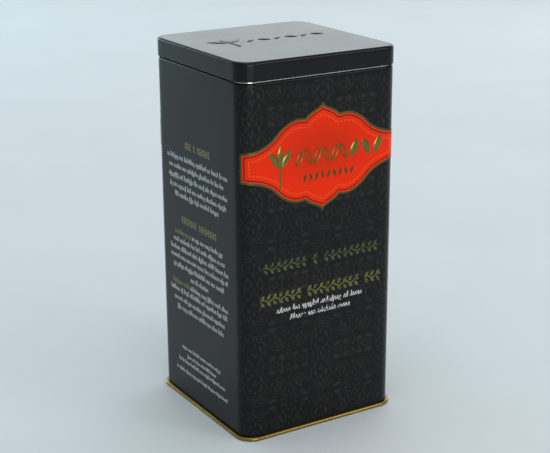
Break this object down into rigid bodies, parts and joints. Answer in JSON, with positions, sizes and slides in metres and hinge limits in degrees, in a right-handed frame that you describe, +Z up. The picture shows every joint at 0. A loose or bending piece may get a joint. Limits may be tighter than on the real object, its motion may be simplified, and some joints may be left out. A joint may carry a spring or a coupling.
{
  "type": "lithographed tin",
  "caption": "Tall square tinplate tea tin with rounded corners, a short outer slip lid, an airtight inner lid with a pull knob, and a seamed-on base.",
  "frame": {"origin": "middle of the face that the tin stands on, the underside of the base's seam ring", "axes": "+Z up along the tin's height and the lids' travel, -Y out of the decorated front, +X to the right seen from the front"},
  "size_m": [0.083, 0.083, 0.1714],
  "materials": {
    "printed_black_tinplate": "gloss black lithographed print on tinplate",
    "gold_lacquered_tinplate": "transparent gold lacquer on tinplate",
    "sealing_compound": "cured sealing compound inside the base seam",
    "gloss_black_tinplate": "gloss black enamel on tinplate",
    "bare_tinplate": "bright bare tinplate",
    "turned_aluminium": "fine turned aluminium",
    "rivet_aluminium": "plain aluminium rivet"
  },
  "bodies": {
    "tin": {"body_shell": "printed_black_tinplate", "base_plate": "gold_lacquered_tinplate", "seam_compound": "sealing_compound"},
    "outer_lid": {"lid_shell": "gloss_black_tinplate"},
    "inner_lid": {"inner_lid": "bare_tinplate", "lid_knob": "turned_aluminium", "knob_rivet": "rivet_aluminium"}
  },
  "joints": [
    {"name": "lid_lift", "type": "slide", "parent": "tin", "child": "outer_lid", "axis": [0, 0, 1], "range_m": [0, 0.06]},
    {"name": "inner_lid_lift", "type": "slide", "parent": "tin", "child": "inner_lid", "axis": [0, 0, 1], "range_m": [0, 0.03]}
  ],
  "couplings": [
    {"joint": "inner_lid_lift", "follows": "lid_lift", "ratio": 0.5}
  ]
}
